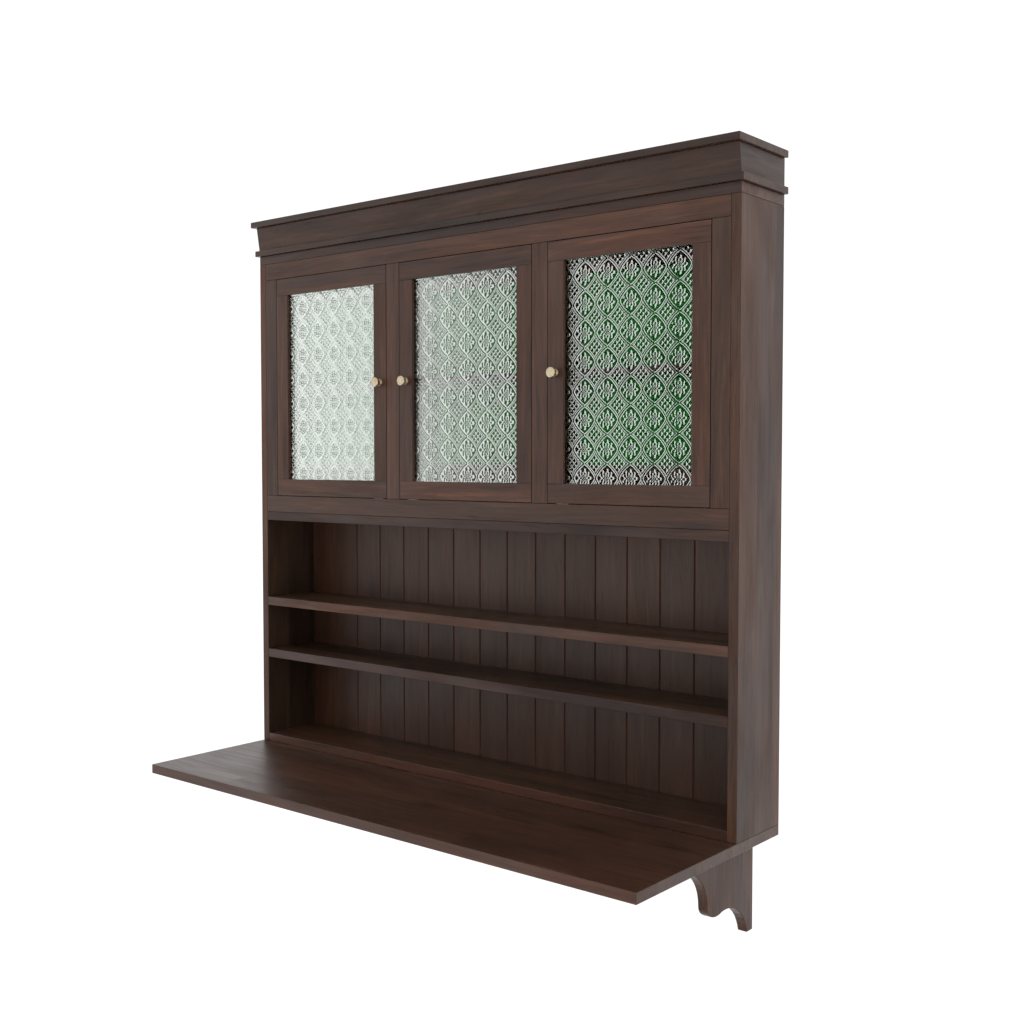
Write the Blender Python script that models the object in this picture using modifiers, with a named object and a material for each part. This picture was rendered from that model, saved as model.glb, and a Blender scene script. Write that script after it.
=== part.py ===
"""Wall cabinet with a fixed desk board: glazed cupboard, three open bays below it, two shaped corbels.

Metres, +Z up. X runs along the wall, the wall is the plane y = 0, and the front faces -Y.
The origin is the centre of the desk slab's back face, where the slab meets the wall.
"""

import bmesh
import bpy
from math import cos, pi, radians, sin
from mathutils import Matrix, Vector

# Overall sizes
WIDTH = 1.2446
BODY_DEPTH = 0.1524
DESK_PROJECTION = 0.3048

# Carcass boards and the bays between them, from the desk upwards
BOARD = 0.01905
DESK_THICK = 0.01905
LOWER_BAY = 0.1778
MIDDLE_BAY = 0.1016
UPPER_BAY = 0.1778
CUPBOARD_HEIGHT = 0.56515

# Housings that hold the board ends in the side panels
HOUSING = 0.006
HOUSING_STOP = 0.012

# Back boards behind the bays, and the rabbet that holds them
BACK_THICK = 0.0127
BACK_RABBET = 0.0095
PLANKS = 16
PLANK_GROOVE = 0.0022

# Hanging rails that the wall screws go through, and the painted panel let into them
HANG_RAIL_THICK = 0.035
HANG_RAIL_TOP = 0.083
HANG_RAIL_BOTTOM = 0.108
PANEL_THICK = 0.0095
PANEL_LAP = 0.010

# Face frame, dividers and the shelf inside the cupboard
FRAME_WIDTH = 0.037
FRAME_THICK = 0.01905
DIVIDER_THICK = 0.0127
INNER_SHELF_THICK = 0.0127
INNER_SHELF_BEHIND_DOOR = 0.004
INNER_HOUSING = 0.004

# Glazed doors
DOOR_GAP = 0.0012
DOOR_THICK = 0.022
DOOR_MEMBER = 0.037
DOOR_EASE = 0.0008
GLASS_SETBACK = 0.0065
GLASS_THICK = 0.004
GLASS_GROOVE = 0.008

# Pivot hinges let into the door edges and the face frame rails
LEAF_LENGTH = 0.040
LEAF_THICK = 0.002
LEAF_MARGIN = 0.0004
LEAF_COVER = 0.0015
PIN_RADIUS = 0.0025
COLLAR_WALL = 0.0011
HINGE_SIDE_EXTRA = 0.0065

# Turned knob, from the door outwards
KNOB_BASE_RADIUS = 0.0073
KNOB_BASE_HEIGHT = 0.0030
KNOB_BASE_EDGE = 0.0012
KNOB_NECK_RADIUS = 0.0042
KNOB_NECK_FLARE = 0.0007
KNOB_NECK_HEIGHT = 0.0088
KNOB_HEAD_RADIUS = 0.0110
KNOB_UNDER_HEIGHT = 0.0037
KNOB_DOME_HEIGHT = 0.0051

# Crown
CROWN_BASE_THICK = 0.0127
CROWN_BASE_OVERHANG = 0.0076
CROWN_RISE = 0.0508
CROWN_BOARD = 0.016
CROWN_FOOT_LEAN = 0.0015
CROWN_TOP_LEAN = 0.0091
MITRE_GAP = 0.0004
CAP_THICK = 0.0127
CAP_SIDE = 0.0071
CAP_FRONT = 0.0203

# Corbels, measured out from the wall and down from the desk
CORBEL_HEIGHT = 0.18415
CORBEL_THICK = 0.01905
CORBEL_INSET = 0.0508
CORBEL_COVE = 0.075
CORBEL_NOSE = 0.0265
CORBEL_WAIST = 0.1613
CORBEL_LOBE_REACH = 0.0343
CORBEL_LOBE_DROP = 0.0229
CORBEL_LOBE_SWEEP = radians(118)
CORBEL_ARCH_SAG = 0.0217
CORBEL_FOOT = 0.0208
CORBEL_EASE = 0.0016

# Fits and edges
SEAT = 0.0003
EASE = 0.0006
PAST = 0.004
SHARP = radians(40)
ARC_STEPS = 10
ROUND_STEPS = 24
KNOB_DOME_STEPS = 6
KNOB_UNDER_STEPS = 3

# Places worked out from the sizes above
HALF = WIDTH / 2
INNER = HALF - BOARD
FRONT = -BODY_DEPTH
BACK_FACE = -BACK_THICK
RAIL_FACE = -HANG_RAIL_THICK
DESK_TOP = DESK_THICK / 2
DESK_UNDER = -DESK_THICK / 2
LOWER_SHELF_Z = DESK_TOP + BOARD + LOWER_BAY
UPPER_SHELF_Z = LOWER_SHELF_Z + BOARD + MIDDLE_BAY
FLOOR_Z = UPPER_SHELF_Z + BOARD + UPPER_BAY
FLOOR_TOP = FLOOR_Z + BOARD
CASE_TOP_Z = FLOOR_TOP + CUPBOARD_HEIGHT
CROWN_Z = CASE_TOP_Z + BOARD
CROWN_BOARD_Z = CROWN_Z + CROWN_BASE_THICK
CAP_Z = CROWN_BOARD_Z + CROWN_RISE
OPENING_WIDTH = (2 * INNER - 4 * FRAME_WIDTH) / 3
OPENING_LOW = FLOOR_TOP + FRAME_WIDTH
OPENING_HIGH = CASE_TOP_Z - FRAME_WIDTH
MULLION_X = (OPENING_WIDTH + FRAME_WIDTH) / 2
INNER_SHELF_Z = FLOOR_TOP + (CUPBOARD_HEIGHT - INNER_SHELF_THICK) / 2
INNER_SHELF_FRONT = FRONT + DOOR_THICK + INNER_SHELF_BEHIND_DOOR
GROOVE_FRONT = FRONT + GLASS_SETBACK - SEAT
GROOVE_BACK = FRONT + GLASS_SETBACK + GLASS_THICK + SEAT
COLLAR_RADIUS = PIN_RADIUS + COLLAR_WALL
LEAF_RADIUS = COLLAR_RADIUS + LEAF_MARGIN
AXIS_FROM_FRONT = LEAF_RADIUS + LEAF_COVER
AXIS_FROM_SIDE = AXIS_FROM_FRONT + HINGE_SIDE_EXTRA
AXIS_Y = FRONT + AXIS_FROM_FRONT

for old in list(bpy.data.objects):
    bpy.data.objects.remove(old, do_unlink=True)

parts = bpy.data.collections.new("wall_cabinet")
cutters = bpy.data.collections.new("wall_cabinet_cutters")
cutters.hide_render = True
bpy.context.scene.collection.children.link(parts)
bpy.context.scene.collection.children.link(cutters)


# Materials

def finish(name, colour, roughness, metallic=0.0, transmission=0.0):
    made = bpy.data.materials.new(name)
    made.use_nodes = True
    shader = made.node_tree.nodes["Principled BSDF"]
    shader.inputs["Base Color"].default_value = (*colour, 1.0)
    shader.inputs["Roughness"].default_value = roughness
    shader.inputs["Metallic"].default_value = metallic
    shader.inputs["Transmission Weight"].default_value = transmission
    made.diffuse_color = (*colour, 1.0)
    return made


walnut_stain = finish("walnut_stain", (0.065, 0.035, 0.026), 0.42)
inside_stain = finish("inside_stain", (0.048, 0.027, 0.020), 0.50)
green_paint = finish("green_paint", (0.020, 0.120, 0.030), 0.55)
clear_glass = finish("clear_glass", (0.90, 0.95, 0.91), 0.08, transmission=1.0)
brass = finish("brass", (0.72, 0.58, 0.34), 0.25, metallic=1.0)
browned_brass = finish("browned_brass", (0.09, 0.065, 0.042), 0.45, metallic=1.0)


# Building blocks

def add(name, mesh, material, place=(0, 0, 0), parent=None):
    made = bpy.data.objects.new(name, mesh)
    made.location = place
    parts.objects.link(made)
    mesh.materials.append(material)
    if parent is not None:
        made.parent = parent
        made.matrix_parent_inverse = Matrix.Translation(parent.location).inverted()
    return made


def middle(low, high):
    return [(a + b) / 2 for a, b in zip(low, high)]


def box_mesh(name, boxes, about=(0, 0, 0)):
    shape = bmesh.new()
    for low, high in boxes:
        sides = [b - a for a, b in zip(low, high)]
        centre = [m - o for m, o in zip(middle(low, high), about)]
        place = Matrix.Translation(centre) @ Matrix.Diagonal((*sides, 1))
        bmesh.ops.create_cube(shape, size=1, matrix=place)
    mesh = bpy.data.meshes.new(name)
    shape.to_mesh(mesh)
    shape.free()
    return mesh


def ease_edges(made, width, segments=1):
    # Only outer corners are eased: an inner corner has to stay square for the piece that fits it
    shape = bmesh.new()
    shape.from_mesh(made.data)
    weight = shape.edges.layers.float.new("bevel_weight_edge")
    for edge in shape.edges:
        edge[weight] = float(edge.calc_face_angle_signed(0) > SHARP)
    shape.to_mesh(made.data)
    shape.free()
    bevel = made.modifiers.new("eased edges", "BEVEL")
    bevel.width = width
    bevel.segments = segments
    bevel.limit_method = "WEIGHT"


def board(name, low, high, material=walnut_stain, parent=None, ease=EASE, segments=1):
    centre = middle(low, high)
    made = add(name, box_mesh(name, [(low, high)], centre), material, centre, parent)
    ease_edges(made, ease, segments)
    return made


def outline_mesh(name, points, thickness):
    curve = bpy.data.curves.new(name, "CURVE")
    curve.dimensions = "2D"
    curve.fill_mode = "BOTH"
    curve.extrude = thickness / 2
    spline = curve.splines.new("POLY")
    spline.points.add(len(points) - 1)
    spline.use_cyclic_u = True
    for point, (across, up) in zip(spline.points, points):
        point.co = (across, up, 0, 1)
    guide = bpy.data.objects.new(name, curve)
    cutters.objects.link(guide)
    graph = bpy.context.evaluated_depsgraph_get()
    mesh = bpy.data.meshes.new_from_object(guide.evaluated_get(graph))
    bpy.data.objects.remove(guide)
    shape = bmesh.new()
    shape.from_mesh(mesh)
    bmesh.ops.remove_doubles(shape, verts=shape.verts, dist=1e-6)
    bmesh.ops.dissolve_limit(shape, angle_limit=radians(0.5), verts=shape.verts, edges=shape.edges)
    bmesh.ops.recalc_face_normals(shape, faces=shape.faces)
    shape.to_mesh(mesh)
    shape.free()
    return mesh


def plan_piece(name, points, low, high, material=walnut_stain, parent=None):
    mesh = outline_mesh(name, points, high - low)
    return add(name, mesh, material, (0, 0, (low + high) / 2), parent)


def lean_forward(made, distance):
    # The top comes forward, and what lies on the wall stays there
    for point in made.data.vertices:
        if point.co.z > 0 and point.co.y < 0:
            point.co.y -= distance


def side_piece(name, points, left, right, material=walnut_stain):
    mesh = outline_mesh(name, points, right - left)
    # The outline's own x becomes y, its y becomes z, and its thickness runs along x
    mesh.transform(Matrix(((0, 0, 1, 0), (1, 0, 0, 0), (0, 1, 0, 0), (0, 0, 0, 1))))
    return add(name, mesh, material, ((left + right) / 2, 0, 0))


def helper(name, mesh, place=(0, 0, 0)):
    made = bpy.data.objects.new(name, mesh)
    made.location = place
    made.display_type = "WIRE"
    made.hide_render = True
    cutters.objects.link(made)
    return made


def combine(made, other, operation="DIFFERENCE"):
    joint = made.modifiers.new(other.name, "BOOLEAN")
    joint.operation = operation
    joint.solver = "EXACT"
    joint.object = other


def cut_boxes(made, name, boxes):
    combine(made, helper(name, box_mesh(name, boxes)))


def round_helper(name, radius, low, high, at):
    shape = bmesh.new()
    bmesh.ops.create_cone(
        shape, cap_ends=True, segments=ROUND_STEPS, radius1=radius, radius2=radius, depth=high - low)
    mesh = bpy.data.meshes.new(name)
    shape.to_mesh(mesh)
    shape.free()
    return helper(name, mesh, (*at, (low + high) / 2))


def arc(centre, reach, drop, start, stop, steps=ARC_STEPS):
    turns = [start + (stop - start) * step / steps for step in range(steps + 1)]
    return [(centre[0] + reach * cos(turn), centre[1] + drop * sin(turn)) for turn in turns]


def sagged(start, stop, sag):
    """Points along a round curve from start to stop, standing off the straight line to its right by sag."""
    line = Vector(stop) - Vector(start)
    radius = (line.length_squared / 4 + sag ** 2) / (2 * sag)
    off = Vector((line.y, -line.x)).normalized()
    centre = (Vector(start) + Vector(stop)) / 2 - off * (radius - sag)
    points = []
    for step in range(ARC_STEPS + 1):
        away = Vector(start) + line * step / ARC_STEPS - centre
        points.append(tuple(centre + away.normalized() * radius))
    return points


# Carcass: desk slab, side panels, shelves and top

def make_desk():
    board("desk_top", (-HALF, FRONT - DESK_PROJECTION, DESK_UNDER), (HALF, 0, DESK_TOP))


def make_side_panel(side, hand):
    left, right = sorted((hand * INNER, hand * HALF))
    panel = board("side_panel_" + side, (left, FRONT, DESK_TOP + SEAT), (right, 0, CASE_TOP_Z - SEAT))
    rabbet = sorted((hand * (INNER - PAST), hand * (INNER + BACK_RABBET)))
    cut_boxes(panel, "side_panel_" + side + "_rabbet", [(
        (rabbet[0], BACK_FACE - SEAT, DESK_TOP - PAST), (rabbet[1], PAST, FLOOR_Z + SEAT))])
    reach = sorted((hand * (INNER - PAST), hand * (INNER + HOUSING)))
    shallow = sorted((hand * (INNER - PAST), hand * (INNER + INNER_HOUSING)))
    housings = []
    for low, thick in ((LOWER_SHELF_Z, BOARD), (UPPER_SHELF_Z, BOARD), (FLOOR_Z, BOARD)):
        housings.append((
            (reach[0], FRONT + HOUSING_STOP, low - SEAT), (reach[1], PAST, low + thick + SEAT)))
    housings.append((
        (shallow[0], INNER_SHELF_FRONT - SEAT, INNER_SHELF_Z - SEAT),
        (shallow[1], RAIL_FACE, INNER_SHELF_Z + INNER_SHELF_THICK + SEAT)))
    cut_boxes(panel, "side_panel_" + side + "_housings", housings)


def make_housed_shelf(name, low, back):
    mouth = INNER - SEAT
    tongue = INNER + HOUSING - SEAT
    shoulder = FRONT + HOUSING_STOP + SEAT
    outline = [
        (-mouth, FRONT), (mouth, FRONT), (mouth, shoulder), (tongue, shoulder),
        (tongue, back), (-tongue, back), (-tongue, shoulder), (-mouth, shoulder)]
    ease_edges(plan_piece(name, outline, low, low + BOARD), EASE)


def make_carcass():
    make_desk()
    make_side_panel("left", -1)
    make_side_panel("right", 1)
    board(
        "bottom_board", (SEAT - INNER, FRONT, DESK_TOP + SEAT),
        (INNER - SEAT, BACK_FACE - SEAT, DESK_TOP + BOARD))
    make_housed_shelf("lower_shelf", LOWER_SHELF_Z, BACK_FACE - SEAT)
    make_housed_shelf("upper_shelf", UPPER_SHELF_Z, BACK_FACE - SEAT)
    make_housed_shelf("cupboard_floor", FLOOR_Z, 0)
    board("case_top", (-HALF, FRONT, CASE_TOP_Z), (HALF, 0, CROWN_Z))


# Back: grooved planks behind the bays, and a painted panel between the hanging rails behind the glass

def make_planks():
    edge = INNER + BACK_RABBET - SEAT
    pitch = 2 * INNER / PLANKS
    front = []
    for joint in range(1, PLANKS):
        across = joint * pitch - INNER
        front += [
            (across - PLANK_GROOVE, BACK_FACE), (across, BACK_FACE + PLANK_GROOVE),
            (across + PLANK_GROOVE, BACK_FACE)]
    outline = [(-edge, BACK_FACE), *front, (edge, BACK_FACE), (edge, 0), (-edge, 0)]
    plan_piece("back_boards", outline, DESK_TOP + SEAT, FLOOR_Z - SEAT, inside_stain)


def make_cupboard_back():
    edge = INNER - SEAT
    lip = RAIL_FACE + PANEL_THICK + SEAT
    rails = {
        "hanging_rail_bottom": (FLOOR_TOP + SEAT, FLOOR_TOP + HANG_RAIL_BOTTOM, PANEL_LAP),
        "hanging_rail_top": (CASE_TOP_Z - SEAT, CASE_TOP_Z - HANG_RAIL_TOP, -PANEL_LAP)}
    for name, (outer, sight, lap) in rails.items():
        # The lip behind the panel carries it, and the rail's own face stays level with the paint
        outline = [
            (RAIL_FACE, outer), (RAIL_FACE, sight), (lip, sight), (lip, sight + lap),
            (0, sight + lap), (0, outer)]
        ease_edges(side_piece(name, outline, -edge, edge, inside_stain), EASE)
    board(
        "cupboard_back", (-edge, RAIL_FACE, FLOOR_TOP + HANG_RAIL_BOTTOM + SEAT),
        (edge, RAIL_FACE + PANEL_THICK, CASE_TOP_Z - HANG_RAIL_TOP - SEAT), green_paint)


# Inside the cupboard: dividers behind the mullions, with a shelf in each compartment

def make_inside():
    front = FRONT + FRAME_THICK + SEAT
    back = RAIL_FACE - SEAT
    half = DIVIDER_THICK / 2
    groove_low = INNER_SHELF_Z - SEAT
    groove_high = INNER_SHELF_Z + INNER_SHELF_THICK + SEAT
    for side, hand in (("left", -1), ("right", 1)):
        centre = hand * MULLION_X
        divider = board(
            "divider_" + side, (centre - half, front, FLOOR_TOP + SEAT),
            (centre + half, back, CASE_TOP_Z - SEAT), inside_stain)
        grooves = [
            ((centre - half - PAST, INNER_SHELF_FRONT - SEAT, groove_low),
             (centre - half + INNER_HOUSING, PAST, groove_high)),
            ((centre + half - INNER_HOUSING, INNER_SHELF_FRONT - SEAT, groove_low),
             (centre + half + PAST, PAST, groove_high))]
        cut_boxes(divider, "divider_" + side + "_housings", grooves)
    bite = INNER_HOUSING - SEAT
    spans = {
        "left": (-INNER - bite, -MULLION_X - half + bite),
        "middle": (-MULLION_X + half - bite, MULLION_X - half + bite),
        "right": (MULLION_X + half - bite, INNER + bite)}
    for place, (start, stop) in spans.items():
        board(
            "inner_shelf_" + place, (start, INNER_SHELF_FRONT, INNER_SHELF_Z),
            (stop, back, INNER_SHELF_Z + INNER_SHELF_THICK), inside_stain)


# Face frame, with a mortise in its rails for each hinge leaf

def make_frame(leaf_mortises):
    back = FRONT + FRAME_THICK
    mouth = INNER - SEAT
    bottom = board("frame_bottom_rail", (-mouth, FRONT, FLOOR_TOP + SEAT), (mouth, back, OPENING_LOW))
    top = board("frame_top_rail", (-mouth, FRONT, OPENING_HIGH), (mouth, back, CASE_TOP_Z - SEAT))
    for mortise in leaf_mortises["bottom"]:
        combine(bottom, mortise)
    for mortise in leaf_mortises["top"]:
        combine(top, mortise)
    uprights = {
        "frame_stile_left": (-mouth, FRAME_WIDTH - INNER),
        "mullion_left": (-MULLION_X - FRAME_WIDTH / 2, -MULLION_X + FRAME_WIDTH / 2),
        "mullion_right": (MULLION_X - FRAME_WIDTH / 2, MULLION_X + FRAME_WIDTH / 2),
        "frame_stile_right": (INNER - FRAME_WIDTH, mouth)}
    for name, (left, right) in uprights.items():
        board(name, (left, FRONT, OPENING_LOW + SEAT), (right, back, OPENING_HIGH - SEAT))


# Crown: overhanging base, a leaning front board mitred to two returns, and a cap

def crown_board(name, outline):
    made = plan_piece(name, outline, CROWN_BOARD_Z + SEAT, CAP_Z)
    lean_forward(made, CROWN_TOP_LEAN - CROWN_FOOT_LEAN)
    ease_edges(made, EASE)


def make_crown():
    over = CROWN_BASE_OVERHANG
    board(
        "crown_base", (-HALF - over, FRONT - over, CROWN_Z + SEAT), (HALF + over, 0, CROWN_BOARD_Z))
    face = FRONT - CROWN_FOOT_LEAN
    behind = face + CROWN_BOARD
    inner = HALF - CROWN_BOARD
    crown_board("crown_front", [(-HALF, face), (HALF, face), (inner, behind), (-inner, behind)])
    for side, hand in (("left", -1), ("right", 1)):
        crown_board("crown_return_" + side, [
            (hand * HALF, face + MITRE_GAP), (hand * HALF, 0),
            (hand * inner, 0), (hand * inner, behind + MITRE_GAP)])
    board(
        "crown_cap", (-HALF - CAP_SIDE, FRONT - CAP_FRONT, CAP_Z + SEAT),
        (HALF + CAP_SIDE, 0, CAP_Z + CAP_THICK))


# Corbels: nose, hollow cove, round lobe and an arch down to the foot, as (away from wall, height)

def corbel_outline():
    top = DESK_UNDER - SEAT
    foot = DESK_UNDER - CORBEL_HEIGHT
    waist_z = DESK_UNDER - CORBEL_NOSE - CORBEL_COVE
    nose = CORBEL_WAIST + CORBEL_COVE
    cove = arc((nose, waist_z), CORBEL_COVE, CORBEL_COVE, pi / 2, pi)
    lobe_centre = (CORBEL_WAIST - CORBEL_LOBE_REACH, waist_z)
    lobe = arc(lobe_centre, CORBEL_LOBE_REACH, CORBEL_LOBE_DROP, 0, -CORBEL_LOBE_SWEEP)
    # The arch springs from the end of the lobe and ends at the inner corner of the foot
    arch = sagged(lobe[-1], (CORBEL_FOOT, foot), CORBEL_ARCH_SAG)
    outline = [(0, top), (nose, top), *cove, *lobe[1:], *arch[1:], (0, foot)]
    return [(-away, height) for away, height in outline]


def make_corbels():
    for side, hand in (("left", -1), ("right", 1)):
        left, right = sorted((hand * (HALF - CORBEL_INSET), hand * (HALF - CORBEL_INSET - CORBEL_THICK)))
        corbel = side_piece("corbel_" + side, corbel_outline(), left, right)
        ease_edges(corbel, CORBEL_EASE, 2)


# Hinges: one leaf with a collar and pin in the frame rail, one bored leaf in the door edge

def leaf_outline(axis_x, hand, spare):
    radius = LEAF_RADIUS + spare
    tip = axis_x - hand * (LEAF_LENGTH + spare)
    start = -pi / 2 if hand > 0 else pi / 2
    round_end = arc((axis_x, AXIS_Y), radius, radius, start, start + pi)
    return [*round_end, (tip, AXIS_Y + hand * radius), (tip, AXIS_Y - hand * radius)]


def leaf_mortise(name, axis_x, hand, low, high):
    mesh = outline_mesh(name, leaf_outline(axis_x, hand, SEAT), high - low)
    return helper(name, mesh, (0, 0, (low + high) / 2))


def make_hinge(door, end, axis_x, hand, door_edge, frame_edge, pivot):
    inward = 1 if frame_edge > door_edge else -1
    outline = leaf_outline(axis_x, hand, 0)
    at = (axis_x, AXIS_Y)
    frame_low, frame_high = sorted((frame_edge, frame_edge + inward * LEAF_THICK))
    frame_leaf = plan_piece(
        "hinge_%s_%s_frame_leaf" % (door, end), outline, frame_low, frame_high, browned_brass)
    root = frame_edge + inward * LEAF_THICK / 2
    for name, radius, tip in (
            ("collar", COLLAR_RADIUS, door_edge + inward * SEAT),
            ("pin", PIN_RADIUS, door_edge - inward * LEAF_THICK)):
        low, high = sorted((root, tip))
        post = round_helper("hinge_%s_%s_%s" % (door, end, name), radius, low, high, at)
        combine(frame_leaf, post, "UNION")
    door_low, door_high = sorted((door_edge, door_edge - inward * LEAF_THICK))
    door_leaf = plan_piece(
        "hinge_%s_%s_door_leaf" % (door, end), outline, door_low, door_high, browned_brass, pivot)
    bore = "hinge_%s_%s_bore" % (door, end)
    combine(door_leaf, round_helper(bore, PIN_RADIUS + SEAT, door_low - PAST, door_high + PAST, at))
    mortise = "mortise_%s_%s" % (door, end)
    reach = LEAF_THICK + SEAT
    frame_span = sorted((frame_edge - inward * SEAT, frame_edge + inward * reach))
    door_span = sorted((door_edge + inward * SEAT, door_edge - inward * reach))
    return (
        leaf_mortise(mortise + "_frame", axis_x, hand, *frame_span),
        leaf_mortise(mortise + "_door", axis_x, hand, *door_span))


# Doors: rails run full width, stiles are tongued between them, and the glass sits in the groove

def make_stile(name, left, right, low, high, inner_side, pivot):
    tongue = GLASS_GROOVE - SEAT
    back = FRONT + DOOR_THICK
    stile = board(
        name, (left, FRONT, low - tongue), (right, back, high + tongue), walnut_stain, pivot, DOOR_EASE, 2)
    shoulders = []
    for start, stop in ((low - tongue - PAST, low), (high, high + tongue + PAST)):
        shoulders.append(((left - PAST, FRONT - PAST, start), (right + PAST, GROOVE_FRONT + SEAT, stop)))
        shoulders.append(((left - PAST, GROOVE_BACK - SEAT, start), (right + PAST, back + PAST, stop)))
    cut_boxes(stile, name + "_shoulders", shoulders)
    if inner_side > 0:
        across = (right - GLASS_GROOVE, right + PAST)
    else:
        across = (left - PAST, left + GLASS_GROOVE)
    cut_boxes(stile, name + "_groove", [(
        (across[0], GROOVE_FRONT, low - tongue - PAST), (across[1], GROOVE_BACK, high + tongue + PAST))])


def make_door_rail(name, left, right, low, high, groove_at_top, pivot, mortise):
    back = FRONT + DOOR_THICK
    rail = board(name, (left, FRONT, low), (right, back, high), walnut_stain, pivot, DOOR_EASE, 2)
    span = (high - GLASS_GROOVE, high + PAST) if groove_at_top else (low - PAST, low + GLASS_GROOVE)
    cut_boxes(
        rail, name + "_groove",
        [((left - PAST, GROOVE_FRONT, span[0]), (right + PAST, GROOVE_BACK, span[1]))])
    combine(rail, mortise)


def knob_profile():
    neck_top = KNOB_BASE_HEIGHT + KNOB_NECK_HEIGHT
    neck_middle = KNOB_BASE_HEIGHT + KNOB_NECK_HEIGHT / 2
    widest = (0, neck_top + KNOB_UNDER_HEIGHT)
    flared = KNOB_NECK_RADIUS + KNOB_NECK_FLARE
    dome = arc(widest, KNOB_HEAD_RADIUS, KNOB_DOME_HEIGHT, pi / 2, 0, KNOB_DOME_STEPS)
    under = arc(widest, KNOB_HEAD_RADIUS, KNOB_UNDER_HEIGHT, 0, -pi / 3, KNOB_UNDER_STEPS)
    neck = [(flared, neck_top), (KNOB_NECK_RADIUS, neck_middle), (flared, KNOB_BASE_HEIGHT)]
    base = [
        (KNOB_BASE_RADIUS - KNOB_BASE_EDGE, KNOB_BASE_HEIGHT),
        (KNOB_BASE_RADIUS, KNOB_BASE_HEIGHT - KNOB_BASE_EDGE), (KNOB_BASE_RADIUS, 0)]
    return [(0, widest[1] + KNOB_DOME_HEIGHT), *dome[1:], *under[1:], *neck, *base, (0, 0)]


def make_knob(name, across, up, pivot):
    shape = bmesh.new()
    previous = None
    for radius, height in knob_profile():
        point = shape.verts.new((radius, 0, height))
        if previous is not None:
            shape.edges.new((previous, point))
        previous = point
    mesh = bpy.data.meshes.new(name)
    shape.to_mesh(mesh)
    shape.free()
    knob = add(name, mesh, brass, (across, FRONT - SEAT, up), pivot)
    knob.rotation_euler = (pi / 2, 0, 0)
    turn = knob.modifiers.new("turned", "SCREW")
    turn.steps = ROUND_STEPS
    turn.render_steps = ROUND_STEPS
    turn.use_merge_vertices = True
    turn.merge_threshold = 0.00001
    turn.use_smooth_shade = True


def make_door(name, opening_left, hand):
    left = opening_left + DOOR_GAP
    right = opening_left + OPENING_WIDTH - DOOR_GAP
    low = OPENING_LOW + DOOR_GAP
    high = OPENING_HIGH - DOOR_GAP
    axis_x = right - AXIS_FROM_SIDE if hand > 0 else left + AXIS_FROM_SIDE
    pivot = bpy.data.objects.new("door_%s_pivot" % name, None)
    pivot.location = (axis_x, AXIS_Y, (low + high) / 2)
    parts.objects.link(pivot)
    prefix = "door_%s_" % name
    frame_top, door_top = make_hinge(name, "top", axis_x, hand, high, OPENING_HIGH, pivot)
    frame_bottom, door_bottom = make_hinge(name, "bottom", axis_x, hand, low, OPENING_LOW, pivot)
    sight_low = low + DOOR_MEMBER
    sight_high = high - DOOR_MEMBER
    make_door_rail(prefix + "rail_bottom", left, right, low, sight_low, True, pivot, door_bottom)
    make_door_rail(prefix + "rail_top", left, right, sight_high, high, False, pivot, door_top)
    stile_low = sight_low + SEAT
    stile_high = sight_high - SEAT
    make_stile(prefix + "stile_left", left, left + DOOR_MEMBER, stile_low, stile_high, 1, pivot)
    make_stile(prefix + "stile_right", right - DOOR_MEMBER, right, stile_low, stile_high, -1, pivot)
    bite = GLASS_GROOVE - 2 * SEAT
    inset = DOOR_MEMBER - bite
    glass_front = FRONT + GLASS_SETBACK
    board(
        prefix + "glass", (left + inset, glass_front, low + inset),
        (right - inset, glass_front + GLASS_THICK, high - inset), clear_glass, pivot)
    knob_x = left + DOOR_MEMBER / 2 if hand > 0 else right - DOOR_MEMBER / 2
    make_knob(prefix + "knob", knob_x, (low + high) / 2, pivot)
    return frame_top, frame_bottom


def make_doors():
    mortises = {"top": [], "bottom": []}
    step = OPENING_WIDTH + FRAME_WIDTH
    doors = (("left", -1), ("middle", 1), ("right", 1))
    for place, (name, hand) in enumerate(doors):
        top, bottom = make_door(name, FRAME_WIDTH - INNER + place * step, hand)
        mortises["top"].append(top)
        mortises["bottom"].append(bottom)
    return mortises


make_carcass()
make_planks()
make_cupboard_back()
make_inside()
make_frame(make_doors())
make_crown()
make_corbels()
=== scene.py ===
import bpy
import bmesh
import math
import numpy as np
from mathutils import Matrix, Vector


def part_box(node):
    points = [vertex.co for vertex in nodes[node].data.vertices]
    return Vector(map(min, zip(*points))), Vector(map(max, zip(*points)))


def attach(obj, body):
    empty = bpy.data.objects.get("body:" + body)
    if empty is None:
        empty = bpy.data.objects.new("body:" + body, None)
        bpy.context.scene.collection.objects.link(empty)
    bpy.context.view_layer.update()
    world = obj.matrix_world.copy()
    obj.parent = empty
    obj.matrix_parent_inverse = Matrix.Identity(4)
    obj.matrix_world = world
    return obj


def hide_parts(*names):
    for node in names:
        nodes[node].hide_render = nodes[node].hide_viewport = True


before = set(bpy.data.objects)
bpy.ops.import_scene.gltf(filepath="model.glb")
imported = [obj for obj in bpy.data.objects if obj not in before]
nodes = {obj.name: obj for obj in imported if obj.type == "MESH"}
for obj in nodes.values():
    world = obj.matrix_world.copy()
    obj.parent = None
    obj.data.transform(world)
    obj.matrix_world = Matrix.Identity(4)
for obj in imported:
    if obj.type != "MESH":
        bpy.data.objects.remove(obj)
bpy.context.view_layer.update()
print("frame loaded:", len(nodes), "nodes")


# camera at the photograph's viewing angle: turn in degrees, lens and sensor in millimetres
cameraSetup = {
    "place": (1.65239, -2.00369, 0.66499), "turn": (87.537, 0.0, 39.470),
    "lens": 43.65, "sensor": 36.0, "clip": (0.05, 80.0),
}

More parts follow.
